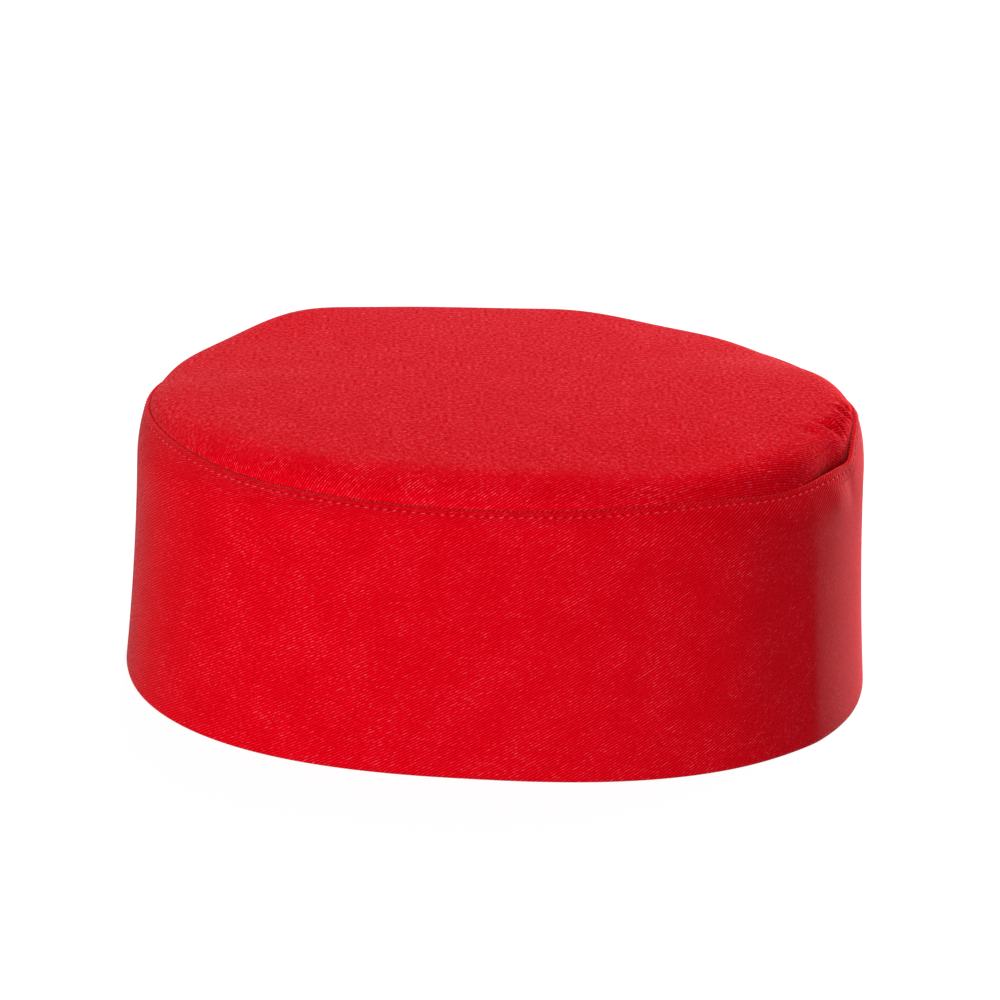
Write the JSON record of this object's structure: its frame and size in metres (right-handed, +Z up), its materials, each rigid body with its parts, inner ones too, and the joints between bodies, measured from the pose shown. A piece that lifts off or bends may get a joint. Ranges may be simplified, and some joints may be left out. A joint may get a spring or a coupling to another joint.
{
  "type": "skull cap",
  "caption": "Brimless oval skull cap in red twill: an upright doubled band with a clean folded rim and a nearly flat crown panel sewn in and topstitched.",
  "frame": {"origin": "centre of the oval rim, on the surface the cap stands on", "axes": "+Z up through the crown; Y along the cap's length, front of the head at -Y and centre back at +Y; X across the head"},
  "size_m": [0.1632, 0.1955, 0.0787],
  "materials": {
    "band_twill": "red cotton-rich twill, matt with a soft sheen at the turning edges",
    "crown_twill": "the same red twill, seen as a fine grain on the flat top",
    "thread": "red spun polyester sewing thread, slightly lighter than the cloth"
  },
  "bodies": {
    "root": {"band": "band_twill", "crown": "crown_twill"}
  },
  "joints": []
}
